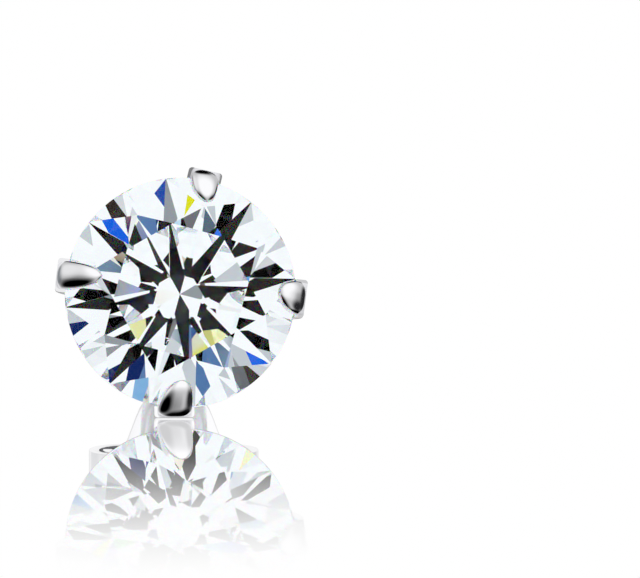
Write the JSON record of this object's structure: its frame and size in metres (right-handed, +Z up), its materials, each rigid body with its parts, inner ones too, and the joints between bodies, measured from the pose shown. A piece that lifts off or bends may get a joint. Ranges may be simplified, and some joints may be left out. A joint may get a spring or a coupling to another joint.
{
  "type": "stud earring",
  "caption": "Round brilliant-cut clear stone in a polished claw setting with a gallery ring, on an ear post with a butterfly nut.",
  "frame": {"origin": "middle of the footprint's bounding box, on the surface that the earring lies on by itself", "axes": "-Y out of the stone's table, which is tipped back by 5.5 degrees; +Y back along the ear post; +Z up; +X to the right of someone facing the stone"},
  "size_m": [0.007, 0.0152, 0.007],
  "materials": {
    "clear_stone": "polished facets",
    "polished_silver": "mirror polished"
  },
  "bodies": {
    "root": {"round_stone": "clear_stone", "claw_setting": "polished_silver", "butterfly_nut": "polished_silver"}
  },
  "joints": []
}
